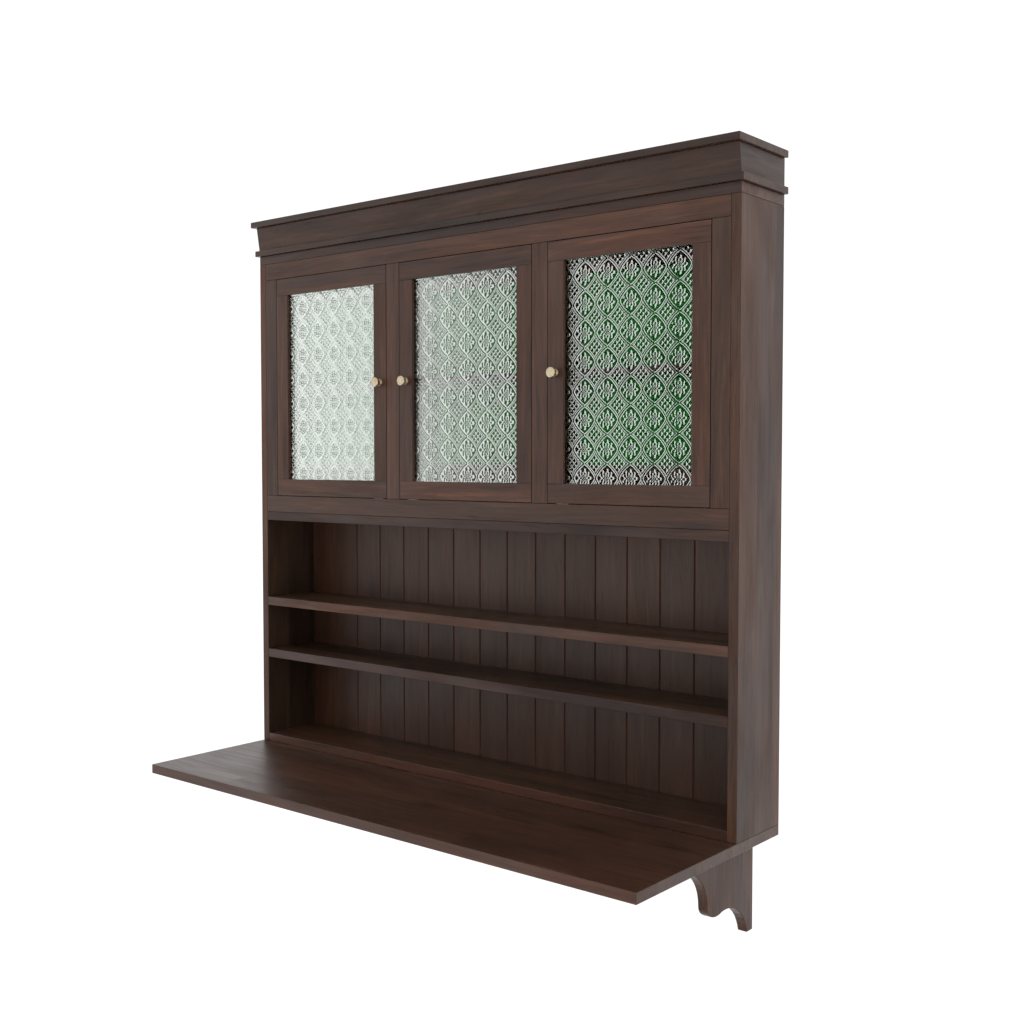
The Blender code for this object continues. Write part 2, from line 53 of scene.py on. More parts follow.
cameraData = bpy.data.cameras.new("photoCamera")
cameraData.lens, cameraData.sensor_width = cameraSetup["lens"], cameraSetup["sensor"]
cameraData.clip_start, cameraData.clip_end = cameraSetup["clip"]
camera = bpy.data.objects.new("photoCamera", cameraData)
camera.location = cameraSetup["place"]
camera.rotation_euler = [math.radians(angle) for angle in cameraSetup["turn"]]
bpy.context.scene.collection.objects.link(camera)
bpy.context.scene.camera = camera


# node helpers: a value that is a socket is linked, anything else is typed in
def setInputs(tree, node, inputs):
    for key, value in inputs.items():
        if isinstance(value, bpy.types.NodeSocket):
            tree.links.new(value, node.inputs[key])
        else:
            node.inputs[key].default_value = value


def addNode(tree, kind, inputs=None, **options):
    node = tree.nodes.new(kind)
    for key, value in options.items():
        setattr(node, key, value)
    setInputs(tree, node, inputs or {})
    return node


def startMaterial(name):
    material = bpy.data.materials.new(name)
    material.use_nodes = True
    return material, material.node_tree, material.node_tree.nodes["Principled BSDF"]


def objectCoords(tree, turn=(0, 0, 0), shift=(0, 0, 0)):
    coords = addNode(tree, "ShaderNodeTexCoord").outputs["Object"]
    return addNode(tree, "ShaderNodeMapping", {"Vector": coords, "Rotation": turn, "Location": shift}).outputs[0]


def stretched(tree, vector, amount):
    return addNode(tree, "ShaderNodeVectorMath", {0: vector, 1: amount}, operation="MULTIPLY").outputs[0]


def moved(tree, vector, by, amount):
    return addNode(tree, "ShaderNodeVectorMath", {0: by, 1: amount, 2: vector}, operation="MULTIPLY_ADD").outputs[0]


def noise(tree, vector, scale, detail=3.0, roughness=0.55, distortion=0.0):
    return addNode(tree, "ShaderNodeTexNoise", {
        "Vector": vector, "Scale": scale, "Detail": detail, "Roughness": roughness, "Distortion": distortion})


def mapped(tree, value, fromLow, fromHigh, toLow, toHigh):
    return addNode(tree, "ShaderNodeMapRange", {
        "Value": value, "From Min": fromLow, "From Max": fromHigh, "To Min": toLow, "To Max": toHigh}).outputs[0]


def arithmetic(tree, operation, first, second=0.0):
    return addNode(tree, "ShaderNodeMath", {0: first, 1: second}, operation=operation).outputs[0]


def total(tree, first, second):
    return arithmetic(tree, "ADD", first, second)


def product(tree, first, *others):
    for other in others:
        first = arithmetic(tree, "MULTIPLY", first, other)
    return first


def blended(tree, amount, first, second):
    return addNode(tree, "ShaderNodeMix", {0: amount, 6: first, 7: second}, data_type="RGBA").outputs[2]


def scaledColour(tree, colour, amount):
    return addNode(tree, "ShaderNodeVectorMath", {0: colour, "Scale": amount}, operation="SCALE").outputs[0]


def ramp(tree, value, stops):
    node = addNode(tree, "ShaderNodeValToRGB", {0: value})
    stopList = node.color_ramp.elements
    stopList[0].position, stopList[0].color = stops[0]
    stopList[-1].position, stopList[-1].color = stops[-1]
    for place, colour in stops[1:-1]:
        stopList.new(place).color = colour
    return node.outputs[0]


# soft white studio, its pale floor as far below the desk board as a room's floor
studio = {
    "sky": 1.075, "floorZ": -0.90, "floorReach": 60.0, "floorColour": (0.99, 0.99, 0.99, 1.0),
    "floorGlow": 0.07, "floorRough": 0.9,
}

world = bpy.data.worlds.new("softStudio")
world.use_nodes = True
setInputs(world.node_tree, world.node_tree.nodes["Background"], {"Color": (1, 1, 1, 1), "Strength": studio["sky"]})
bpy.context.scene.world = world
bpy.context.scene.view_settings.view_transform = "Standard"
bpy.context.scene.view_settings.look = "None"

floorPaint, tree, shader = startMaterial("floorPaint")
setInputs(tree, shader, {
    "Base Color": studio["floorColour"], "Emission Color": studio["floorColour"],
    "Emission Strength": studio["floorGlow"], "Roughness": studio["floorRough"], "Specular IOR Level": 0.0,
})
bm = bmesh.new()
bmesh.ops.create_grid(bm, x_segments=1, y_segments=1, size=studio["floorReach"])
bmesh.ops.translate(bm, vec=(0, 0, studio["floorZ"]), verts=bm.verts)
floorMesh = bpy.data.meshes.new("studioFloor")
bm.to_mesh(floorMesh)
bm.free()
floorMesh.materials.append(floorPaint)
studioFloor = bpy.data.objects.new("studioFloor", floorMesh)
bpy.context.scene.collection.objects.link(studioFloor)
print("camera, light and floor set")


# stained hardwood, grain along each board, staves glued side by side on the wide ones
woodLook = {
    "deep": (0.0190, 0.0066, 0.0036, 1), "body": (0.0540, 0.0195, 0.0100, 1), "warm": (0.0980, 0.0370, 0.0180, 1),
    "amber": (0.1500, 0.0560, 0.0230, 1), "knot": (0.0120, 0.0046, 0.0030, 1),
    "stops": (0.36, 0.485, 0.535, 0.66), "streakShare": 0.5, "amberShare": 0.32, "amberRange": (0.54, 0.74),
    "mottle": 0.30, "blotchRange": (0.32, 0.68), "poreRange": (0.34, 0.47), "poreTone": 0.66, "pinDark": 0.85,
    "joint": 0.0005, "jointSoft": 0.4, "jointOffset": 0.37, "jointTone": 1.55,     # tone less the streaks' strength
    "seedShift": (3.17, 7, 0.83),   # from board to board: along the log, rows before they repeat, into the log
    "staveJump": (7.3, 1.9, 3.1), "driftBy": (0.0, 0.045, 0.045),
    "stain": (1, 1, 1, 0.5), "faceLimit": 0.6, "roughLow": 0.30, "roughHigh": 0.44, "roughRange": (0.3, 0.7),
    "ior": 1.42, "coat": 2.4, "coatShare": 0.6, "cloudRange": (0.3, 0.7),
    "bump": 0.25, "relief": 0.0007, "streakHeight": 0.6, "poreHeight": 0.4,
}
# layers of the grain: stretch along it, then the noise's scale, detail, roughness and distortion
grainLayers = {
    "drift": (0.6, 3.0, 2.0, 0.55, 0.0), "streaks": (0.035, 130.0, 5.0, 0.62, 0.0),
    "figure": (0.10, 22.0, 4.0, 0.6, 0.9), "blotches": (0.30, 5.0, 3.0, 0.5, 0.4),
    "ambers": (0.07, 34.0, 4.0, 0.6, 0.0), "pores": (0.022, 640.0, 2.0, 0.55, 0.0),
    "clouds": (0.35, 12.0, 3.0, 0.5, 0.6),
}
# knots: stretch along the grain, scale, then where the dark is full and where it has gone
knotLayers = {"pins": (0.6, 9.0, 0.015, 0.055), "rings": (0.45, 6.0, 0.05, 0.16)}

# in each of these lists the first name found in the piece's name counts
# cloudiness
mottleChoice = {
    "side_panel": 0.55, "corbel": 0.55, "shelf": 0.50, "frame_top_rail": 0.42, "back_boards": 0.20,
    "frame_bottom_rail": 0.20,
}
# strength of the streaks
vividChoice = {"desk_top": 0.70, "side_panel": 0.72, "bottom_board": 0.80, "crown_front": 0.85, "back_boards": 0.62}
# strength of the large knots
knotChoice = {"desk_top": 0.6, "back_boards": 0.7}
# strength of the stain as red, green and blue factors, then sheen
stainChoice = {
    "crown_front": (0.72, 0.80, 0.84, 0.44), "crown": (0.80, 0.86, 0.88, 0.48),
    "side_panel": (0.80, 0.83, 0.82, 0.368), "desk_top": (0.88, 1.04, 1.14, 0.54),
    "bottom_board": (1.10, 1.40, 1.45, 0.50), "shelf": (0.94, 1.26, 1.32, 0.50),
    "corbel": (0.78, 0.72, 0.62, 0.385), "frame_bottom_rail": (0.88, 0.91, 0.87, 0.50),
    "frame_top_rail": (1.05, 1.02, 0.90, 0.48), "frame_stile": (0.74, 0.84, 0.87, 0.46),
    "back_boards": (0.89, 0.99, 1.02, 0.47), "door_left_stile": (0.94, 0.94, 0.86, 0.42),
    "green_back": (1.0, 1.0, 1.0, 0.10),
}
# faces whose colour is painted for how light falls on them: which way they face, their painted stain, and a roughness
# if it differs front edges carry painted highlight tones and the left upright's inner face a painted shade tone
# groove faces are painted lighter against their shade, and grooves stay rough
paintedLightByFace = {
    "desk_top": [("Y", -1, (1.22, 1.00, 0.66), None)],
    "bottom_board": [("Y", -1, (1.40, 1.20, 1.06), None)],
    "lower_shelf": [("Y", -1, (1.08, 0.86, 0.70), None)],
    "upper_shelf": [("Y", -1, (1.74, 1.60, 1.26), None)],
    "side_panel_left": [("Y", -1, (1.50, 1.46, 1.30), None), ("X", 1, (0.76, 1.12, 1.34), None)],
    "side_panel_right": [("Y", -1, (1.10, 1.36, 1.55), None)],
    "back_boards": [("X", -1, (1.10, 1.18, 1.20), 1.0), ("X", 1, (1.10, 1.18, 1.20), 1.0)],
}
axes = {"X": Vector((1, 0, 0)), "Y": Vector((0, 1, 0)), "Z": Vector((0, 0, 1))}


def chosen(choices, name, otherwise):
    return next((choice for word, choice in choices.items() if word in name), otherwise)


def grainLayer(tree, cut, kind):
    pull, *settings = grainLayers[kind]
    return noise(tree, stretched(tree, cut, (pull, 1, 1)), *settings)


def knotMask(tree, cut, kind, strength):
    pull, scale, full, gone = knotLayers[kind]
    spots = addNode(tree, "ShaderNodeTexVoronoi", {
        "Vector": stretched(tree, cut, (pull, 1, 1)), "Scale": scale}, feature="F1")
    return mapped(tree, spots.outputs["Distance"], full, gone, strength, 0.0)


def grainColour(tree, name, grain, across, low, seed, stave, mottle):
    look = woodLook
    along, side = axes[grain], axes[across]
    turn = Matrix((along, side, along.cross(side))).to_euler()
    row, length, spread = stave
    vivid, knots = chosen(vividChoice, name, 1.0), chosen(knotChoice, name, 0.0)
    alongStep, rowCount, deepStep = look["seedShift"]
    shift = (seed * alongStep, row * (seed % rowCount) - low.dot(side), seed * deepStep)
    place = objectCoords(tree, turn, shift)
    boards = addNode(tree, "ShaderNodeTexBrick", {
        "Vector": place, "Color1": (0, 0, 0, 1), "Color2": (1, 1, 1, 1), "Mortar": (0.5, 0.5, 0.5, 1),
        "Scale": 1.0, "Mortar Size": look["joint"], "Mortar Smooth": look["jointSoft"], "Bias": 0.0,
        "Brick Width": length, "Row Height": row}, offset=look["jointOffset"])
    # each stave is cut from another part of the log, and its grain wanders a little
    cut = moved(tree, place, boards.outputs["Color"], look["staveJump"])
    cut = moved(tree, cut, grainLayer(tree, cut, "drift").outputs["Color"], look["driftBy"])
    streaks, figure, blotches, ambers, pores, clouds = [
        grainLayer(tree, cut, kind).outputs["Fac"]
        for kind in ("streaks", "figure", "blotches", "ambers", "pores", "clouds")]
    figured = total(tree, product(tree, streaks, look["streakShare"]), product(tree, figure, 1 - look["streakShare"]))
    figured = mapped(tree, figured, 0.0, 1.0, 0.5 - vivid / 2, 0.5 + vivid / 2)
    shades = [look[shade] for shade in ("deep", "body", "body", "warm")]
    colour = ramp(tree, figured, list(zip(look["stops"], shades)))
    glow = mapped(tree, ambers, *look["amberRange"], 0.0, look["amberShare"] * vivid)
    colour = blended(tree, glow, colour, look["amber"])
    colour = blended(tree, knotMask(tree, cut, "pins", look["pinDark"]), colour, look["knot"])
    if knots:
        colour = blended(tree, knotMask(tree, cut, "rings", knots), colour, look["knot"])
    tone = product(
        tree, mapped(tree, blotches, *look["blotchRange"], 1.0 - mottle, 1.0 + mottle),
        mapped(tree, boards.outputs["Color"], 0.0, 1.0, 1.0 - spread, 1.0 + spread),
        mapped(tree, pores, *look["poreRange"], look["poreTone"], 1.0),
        mapped(tree, boards.outputs["Fac"], 0.0, 1.0, 1.0, look["jointTone"] - vivid))
    pitted = mapped(tree, pores, *look["poreRange"], 0.0, look["poreHeight"])
    height = total(tree, product(tree, streaks, look["streakHeight"]), pitted)
    rough = mapped(tree, streaks, *look["roughRange"], look["roughHigh"], look["roughLow"])
    return scaledColour(tree, colour, tone), rough, height, clouds


def stainedWood(name, grain, across, low, seed, stave):
    look = woodLook
    material, tree, shader = startMaterial(name)
    mottle = chosen(mottleChoice, name, look["mottle"])
    colour, rough, height, clouds = grainColour(tree, name, grain, across, low, seed, stave, mottle)
    red, green, blue, sheen = chosen(stainChoice, name, look["stain"])
    stain = addNode(tree, "ShaderNodeCombineXYZ", {0: red, 1: green, 2: blue}).outputs[0]
    # faces turned the named way take painted light and shade in their colour
    for axis, way, other, dulled in chosen(paintedLightByFace, name, []):
        normal = addNode(tree, "ShaderNodeNewGeometry").outputs["True Normal"]
        facing = addNode(tree, "ShaderNodeSeparateXYZ", {0: normal}).outputs[axis]
        faces = arithmetic(tree, "GREATER_THAN", product(tree, facing, way), look["faceLimit"])
        stain = blended(tree, faces, stain, (*other, 1))
        if dulled is not None:
            rough = mapped(tree, faces, 0.0, 1.0, rough, dulled)
    bump = addNode(tree, "ShaderNodeBump", {"Strength": look["bump"], "Distance": look["relief"], "Height": height})
    # lacquer lies thicker in some places than in others
    lacquer = mapped(tree, clouds, *look["cloudRange"], 0.0, look["coat"] * sheen * mottle)
    setInputs(tree, shader, {
        "Base Color": stretched(tree, colour, stain), "Roughness": rough, "Normal": bump.outputs[0],
        "Specular IOR Level": sheen * (1.0 - look["coatShare"] * mottle), "IOR": look["ior"],
        "Coat Weight": lacquer, "Coat Roughness": look["roughHigh"], "Coat IOR": look["ior"],
    })
    return material


def dress(node, material):
    for slot in nodes[node].material_slots:
        slot.material = material


# how each board is glued up: stave width and length in metres, and how far the staves differ in tone
endless = 400.0     # longer than any board, so no end joint shows
staveChoice = {
    "side_panel": (0.062, endless, 0.09), "shelf": (0.058, 0.62, 0.16), "wide": (0.058, 0.62, 0.09),
    "narrow": (0.20, endless, 0.05), "planks": (0.0754, endless, 0.04), "panel": (0.28, endless, 0.09),
}
notWood = ("glass", "knob", "leaf", "cupboard_back", "back_boards")
wideBoards = (
    "desk_top", "bottom_board", "case_top", "cupboard_floor", "divider", "crown_base", "crown_cap", "hanging_rail")

woodNodes = [node for node in sorted(nodes) if not any(word in node for word in notWood)]
for seed, node in enumerate(woodNodes, 1):
    low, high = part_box(node)
    # grain along the longest side, but upright in the corbels
    grain, across = sorted("XYZ", key=lambda axis: -(high - low).dot(axes[axis]))[:2]
    if "corbel" in node:
        grain, across = "Z", "Y"
    plain = "wide" if any(word in node for word in wideBoards) else "narrow"
    stave = chosen(staveChoice, node, staveChoice[plain])
    dress(node, stainedWood("wood_" + node, grain, across, low, seed, stave))
dress("back_boards", stainedWood("wood_back_boards", "Z", "X", Vector(), 0, staveChoice["planks"]))
print("wood on", len(woodNodes) + 1, "nodes")


# green paint on the room side of the cupboard's back panel; the wall side stays stained
greenPaint = {
    "green": (0.011, 0.150, 0.020, 1), "worn": (0.016, 0.185, 0.029, 1), "woodSeed": 61,
    "brush": (1, 1, 0.06), "brushScale": 160.0, "brushDetail": 4.0, "brushRange": (0.35, 0.65),
}

panelLow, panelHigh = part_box("cupboard_back")
panelWood = stainedWood("green_back_panel", "X", "Z", panelLow, greenPaint["woodSeed"], staveChoice["panel"])
tree, shader = panelWood.node_tree, panelWood.node_tree.nodes["Principled BSDF"]
place = objectCoords(tree)
strokes = stretched(tree, place, greenPaint["brush"])
brushed = noise(tree, strokes, greenPaint["brushScale"], greenPaint["brushDetail"]).outputs["Fac"]
worn = mapped(tree, brushed, *greenPaint["brushRange"], 0.0, 1.0)
paint = blended(tree, worn, greenPaint["green"], greenPaint["worn"])
deep = addNode(tree, "ShaderNodeSeparateXYZ", {0: place}).outputs["Y"]
painted = arithmetic(tree, "LESS_THAN", deep, (panelLow.y + panelHigh.y) / 2)
woodColour = shader.inputs["Base Color"].links[0].from_socket
setInputs(tree, shader, {"Base Color": blended(tree, painted, woodColour, paint)})
dress("cupboard_back", panelWood)
print("back panel painted")

# soft strip of light behind the left-hand upright of each opening, so the paint reads evenly through the glass
fillLight = {"power": 0.085, "wide": 0.016, "tall": 0.50, "aim": (0.30, 0.95, 0.0), "inset": 0.012, "y": -0.1235}

for node in ("side_panel_left", "divider_left", "divider_right"):
    low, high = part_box(node)
    strip = bpy.data.lights.new("fill_" + node, "AREA")
    strip.shape, strip.energy = "RECTANGLE", fillLight["power"]
    strip.size, strip.size_y = fillLight["wide"], fillLight["tall"]
    lamp = bpy.data.objects.new("fill_" + node, strip)
    lamp.location = (high.x + fillLight["inset"], fillLight["y"], (panelLow.z + panelHigh.z) / 2)
    lamp.rotation_euler = Vector(fillLight["aim"]).to_track_quat("-Z", "Y").to_euler()
    lamp.visible_camera = lamp.visible_glossy = lamp.visible_transmission = False
    bpy.context.scene.collection.objects.link(lamp)


# satin brass for the knobs and small fittings
brassLook = {
    "pale": (0.62, 0.53, 0.37, 1), "dull": (0.38, 0.30, 0.18, 1), "roughLow": 0.18, "roughHigh": 0.32,
    "clouds": (260.0, 4.0), "cloudRange": (0.40, 0.72), "dullShare": 0.8,
    "scratchPull": (1, 0.1, 1), "scratches": (2400.0, 2.0), "scratchRange": (0.3, 0.7), "bump": 0.1, "relief": 0.0001,
}

brass, tree, shader = startMaterial("satin_brass")
place = objectCoords(tree)
cloudy = noise(tree, place, *brassLook["clouds"]).outputs["Fac"]
scratches = noise(tree, stretched(tree, place, brassLook["scratchPull"]), *brassLook["scratches"]).outputs["Fac"]
dulled = mapped(tree, cloudy, *brassLook["cloudRange"], 0.0, brassLook["dullShare"])
bump = addNode(tree, "ShaderNodeBump", {
    "Strength": brassLook["bump"], "Distance": brassLook["relief"], "Height": scratches})
setInputs(tree, shader, {
    "Base Color": blended(tree, dulled, brassLook["pale"], brassLook["dull"]), "Metallic": 1.0,
    "Roughness": mapped(tree, scratches, *brassLook["scratchRange"], brassLook["roughLow"], brassLook["roughHigh"]),
    "Normal": bump.outputs[0],
})

# hinge leaves, browned with age
leafLook = {
    "dark": (0.050, 0.036, 0.026, 1), "pale": (0.120, 0.085, 0.050, 1), "patches": (300.0, 4.0),
    "patchRange": (0.4, 0.7), "roughRange": (0.3, 0.7), "roughLow": 0.38, "roughHigh": 0.55,
}

bronze, tree, shader = startMaterial("browned_brass")
patchy = noise(tree, objectCoords(tree), *leafLook["patches"]).outputs["Fac"]
rubbed = mapped(tree, patchy, *leafLook["patchRange"], 0.0, 1.0)
setInputs(tree, shader, {
    "Base Color": blended(tree, rubbed, leafLook["dark"], leafLook["pale"]), "Metallic": 1.0,
    "Roughness": mapped(tree, patchy, *leafLook["roughRange"], leafLook["roughLow"], leafLook["roughHigh"]),
})
for node in nodes:
    if "leaf" in node:
        dress(node, bronze)


def finishPiece(bm, name, body, material, standsFor=(), sharp=None):
    mesh = bpy.data.meshes.new(name)
    bm.to_mesh(mesh)
    bm.free()
    mesh.materials.append(material)
    if sharp is not None:
        mesh.shade_smooth()
        mesh.set_sharp_from_angle(angle=math.radians(sharp))
    piece = bpy.data.objects.new(name, mesh)
    bpy.context.scene.collection.objects.link(piece)
    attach(piece, body)
    if standsFor:
        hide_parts(*standsFor)
    return piece


# pressed glass: flat inside, the lattice sunk into the outer face
# pattern in millimetres, its rims and border in parts of a motif; cell, margin, fade and bump depths in metres
paneLook = {
    "cell": 0.00116, "margin": 0.0078, "fade": 0.0030,
    "shift": (6.4, 16.3), "column": 51.0, "row": 53.2, "roundness": 1.28, "depth": 1.90,
    "rimAt": 0.085, "rimWide": 0.040, "rimInner": 0.22, "rimOuter": 0.27, "basin": 0.33, "slope": 0.12,
    "crateStep": 5.35, "crateDeep": 1.0, "crateSharp": 0.82, "crateReach": 1.5,
    # floret: radius (none for the dot, across and up for the drop), then size or length and width, then depth
    "dot": (0.95, 0.80), "ring": (4.3, 0.95, 0.75), "petal": (8.7, 1.6, 1.15, 0.55),
    "drop": (12.9, 14.0, 2.0, 1.6, 0.62), "spark": (13.5, 1.1, 0.50), "hump": (13.9, 1.6, -0.25),
    # fine lines and leaves in the material
    "lineDeep": 0.00030, "lineWiden": 1.35, "border": 0.346, "borderWide": 0.030,
    "rosette": 0.90, "leaves": 8.0, "ringFrom": 2.1, "ringStep": 8.8, "leafIn": (1.5, 3.2), "leafOut": (13.5, 17.0),
    "ripple": (420.0, 2.0), "rippleRange": (0.3, 0.7), "grainDeep": 0.00014,
    "roughness": 0.025, "ior": 1.12, "gloss": (0.05, 0.05, 0.05, 1), "tint": (0.935, 0.985, 0.935, 1),
    # milkiness by how far the glass turns from the eye
    "veil": [(0.115, 0.0), (0.160, 0.002), (0.195, 0.004), (0.216, 0.032), (0.236, 0.25), (0.252, 0.48),
             (0.272, 0.635), (0.295, 0.655), (0.326, 0.67), (0.360, 0.68), (0.600, 0.69), (1.0, 0.70)],
}


def fineLine(tree, distance, width):
    return mapped(tree, arithmetic(tree, "ABSOLUTE", distance), 0.0, width, 1.0, 0.0)


pressedGlass, tree, shader = startMaterial("pressed_glass")
# fine sharp lines of the same lattice, laid out in UV with one motif to a unit
spot = addNode(tree, "ShaderNodeSeparateXYZ", {0: addNode(tree, "ShaderNodeTexCoord").outputs["UV"]}).outputs
across, up = [arithmetic(tree, "SUBTRACT", spot[axis], arithmetic(tree, "ROUND", spot[axis])) for axis in "XY"]
sides = [arithmetic(tree, "ABSOLUTE", way) for way in (across, up)]
powers = [arithmetic(tree, "POWER", product(tree, side, 2.0), paneLook["roundness"]) for side in sides]
outline = arithmetic(tree, "POWER", total(tree, *powers), 1 / paneLook["roundness"])
away = arithmetic(tree, "ABSOLUTE", arithmetic(tree, "SUBTRACT", outline, 1.0))
fromRim = arithmetic(tree, "SUBTRACT", away, paneLook["rimAt"])
rims = fineLine(tree, fromRim, paneLook["rimWide"] * paneLook["lineWiden"])
# one more beside each small diamond
inward = arithmetic(tree, "SUBTRACT", 1.0 - paneLook["border"], total(tree, *sides))
lines = arithmetic(tree, "MAXIMUM", rims, fineLine(tree, inward, paneLook["borderWide"]))
# leaves round the floret, alternating from ring to ring
flat = addNode(tree, "ShaderNodeCombineXYZ", {
    0: product(tree, across, paneLook["column"]), 1: product(tree, up, paneLook["row"])}).outputs[0]
reach = addNode(tree, "ShaderNodeVectorMath", {0: flat}, operation="LENGTH").outputs["Value"]
leaves = arithmetic(tree, "COSINE", product(tree, arithmetic(tree, "ARCTAN2", up, across), paneLook["leaves"]))
outward = arithmetic(tree, "SUBTRACT", reach, paneLook["ringFrom"])
rings = arithmetic(tree, "SINE", product(tree, outward, math.tau / paneLook["ringStep"]))
shown = product(
    tree, mapped(tree, reach, *paneLook["leafIn"], 0.0, 1.0), mapped(tree, reach, *paneLook["leafOut"], 1.0, 0.0))
rosette = product(tree, leaves, rings, shown)
sharp = total(tree, lines, product(tree, rosette, paneLook["rosette"]))
outside = arithmetic(tree, "SUBTRACT", 1.0, addNode(tree, "ShaderNodeNewGeometry").outputs["Backfacing"])
ripple = noise(tree, objectCoords(tree), *paneLook["ripple"]).outputs["Fac"]
bump = addNode(tree, "ShaderNodeBump", {"Strength": outside, "Distance": paneLook["grainDeep"], "Height": ripple})
bump = addNode(tree, "ShaderNodeBump", {
    "Strength": outside, "Distance": paneLook["lineDeep"], "Height": sharp, "Normal": bump.outputs[0]}, invert=True)
facing = addNode(tree, "ShaderNodeLayerWeight", {"Blend": 0.5, "Normal": bump.outputs[0]}).outputs["Facing"]
veil = ramp(tree, facing, [(stop, (amount, amount, amount, 1)) for stop, amount in paneLook["veil"]])
setInputs(tree, shader, {
    "Base Color": paneLook["tint"], "Metallic": veil, "Normal": bump.outputs[0],
    "Roughness": mapped(tree, ripple, *paneLook["rippleRange"], paneLook["roughness"], paneLook["roughness"] * 2),
    "Transmission Weight": 1.0, "Specular Tint": paneLook["gloss"], "IOR": paneLook["ior"],
})


def bead(x, z, radius, turn, long, wide=None):
    dx, dz = x - radius[0] * math.cos(turn), z - radius[1] * math.sin(turn)
    alongBead = dx * math.cos(turn) + dz * math.sin(turn)
    acrossBead = dz * math.cos(turn) - dx * math.sin(turn)
    return np.exp(-0.5 * ((alongBead / long) ** 2 + (acrossBead / (wide or long)) ** 2))


def latticeRelief(x, z):
    look = paneLook
    column, row, power = look["column"], look["row"], look["roundness"]
    bigX, bigZ = x - np.round(x / column) * column, z - np.round(z / row) * row
    smallX, smallZ = bigX - np.sign(bigX) * column / 2, bigZ - np.sign(bigZ) * row / 2
    # each large motif is a shallow basin with two fine lines round it
    outline = (np.abs(2 * bigX / column) ** power + np.abs(2 * bigZ / row) ** power) ** (1 / power)
    fall = np.clip((1 + look["slope"] - outline) / (2 * look["slope"]), 0, 1)
    sunk = look["basin"] * fall * fall * (3 - 2 * fall)
    for way, deep in ((-1, look["rimInner"]), (1, look["rimOuter"])):
        sunk = sunk + deep * np.exp(-0.5 * ((outline - 1 - way * look["rimAt"]) / look["rimWide"]) ** 2)
    # nine square pits in each small diamond
    across, up = smallX / look["crateStep"], smallZ / (look["crateStep"] * row / column)
    first, second = (across + up) / 2, (up - across) / 2
    pits = np.abs(np.cos(math.pi * first) * np.cos(math.pi * second)) ** look["crateSharp"]
    within = np.maximum(np.abs(first), np.abs(second)) < look["crateReach"]
    sunk = sunk + np.where(within, look["crateDeep"] * pits, 0)
    # floret: a dot, a ring of dots, eight petals, four drops with sparks between, and low humps
    sunk = sunk + look["dot"][1] * bead(bigX, bigZ, (0, 0), 0.0, look["dot"][0])
    for step in range(8):
        turn, between = step * math.pi / 4, (step + 0.5) * math.pi / 4
        radius, size, deep = look["ring"]
        sunk = sunk + deep * bead(bigX, bigZ, (radius, radius), turn, size)
        radius, long, wide, deep = look["petal"]
        sunk = sunk + deep * bead(bigX, bigZ, (radius, radius), between, long, wide)
        radius, size, deep = look["hump"]
        sunk = sunk + deep * bead(bigX, bigZ, (radius, radius), between, size)
        if step % 2 == 0:
            radiusX, radiusZ, long, wide, deep = look["drop"]
            sunk = sunk + deep * bead(bigX, bigZ, (radiusX, radiusZ), turn, long, wide)
            radius, size, deep = look["spark"]
            sunk = sunk + deep * bead(bigX, bigZ, (radius, radius), turn + math.pi / 4, size)
    return sunk


def pressedPane(door):
    look = paneLook
    low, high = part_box(f"door_{door}_glass")
    centre = (low + high) / 2
    width, height = high.x - low.x, high.z - low.z
    shiftX, shiftZ = look["shift"]
    bm = bmesh.new()
    columns, rows = round(width / look["cell"]), round(height / look["cell"])
    bmesh.ops.create_grid(bm, x_segments=columns, y_segments=rows, size=0.5)
    bmesh.ops.scale(bm, vec=(width, height, 1), verts=bm.verts)
    bmesh.ops.rotate(bm, cent=(0, 0, 0), matrix=Matrix.Rotation(math.radians(90), 3, "X"), verts=bm.verts)
    places = np.array([vert.co for vert in bm.verts])
    x, z = places[:, 0], places[:, 2]
    # plain in the groove, the pattern fading in beside it
    edge = np.minimum(width / 2 - np.abs(x), height / 2 - np.abs(z)) - look["margin"]
    shown = np.clip(edge / look["fade"], 0, 1)
    relief = np.clip(latticeRelief(x * 1000 - shiftX, z * 1000 - shiftZ), 0, None)
    for vert, drop in zip(bm.verts, look["depth"] / 1000 * shown * relief):
        vert.co.y += drop
    for face in bm.faces:
        face.smooth = True
    bmesh.ops.translate(bm, vec=(centre.x, low.y, centre.z), verts=bm.verts)
    # walls to the flat inner face, thinned to its four corners
    rim = [line for line in bm.edges if line.is_boundary]
    walls = bmesh.ops.extrude_edge_only(bm, edges=rim)["geom"]
    outer = [part for part in walls if isinstance(part, bmesh.types.BMVert)]
    hair = 1e-5
    between = []
    for vert in outer:
        vert.co.y = high.y
        fromSide = abs(abs(vert.co.x - centre.x) - width / 2)
        fromEnd = abs(abs(vert.co.z - centre.z) - height / 2)
        if fromSide >= hair or fromEnd >= hair:
            between.append(vert)
    bmesh.ops.dissolve_verts(bm, verts=between)
    bmesh.ops.contextual_create(bm, geom=[line for line in bm.edges if line.is_boundary])
    bmesh.ops.recalc_face_normals(bm, faces=bm.faces)
    lattice = bm.loops.layers.uv.new("lattice")
    for face in bm.faces:
        for loop in face.loops:
            spot = (loop.vert.co - centre) * 1000
            loop[lattice].uv = (spot.x - shiftX) / look["column"], (spot.z - shiftZ) / look["row"]
        if max(abs(face.normal.x), abs(face.normal.z), face.normal.y) > 0.99:
            face.smooth = False
    return finishPiece(bm, f"pane_{door}", f"door_{door}", pressedGlass, [f"door_{door}_glass"])


for door in ("left", "middle", "right"):
    pane = pressedPane(door)
    print(pane.name, len(pane.data.polygons), "faces")


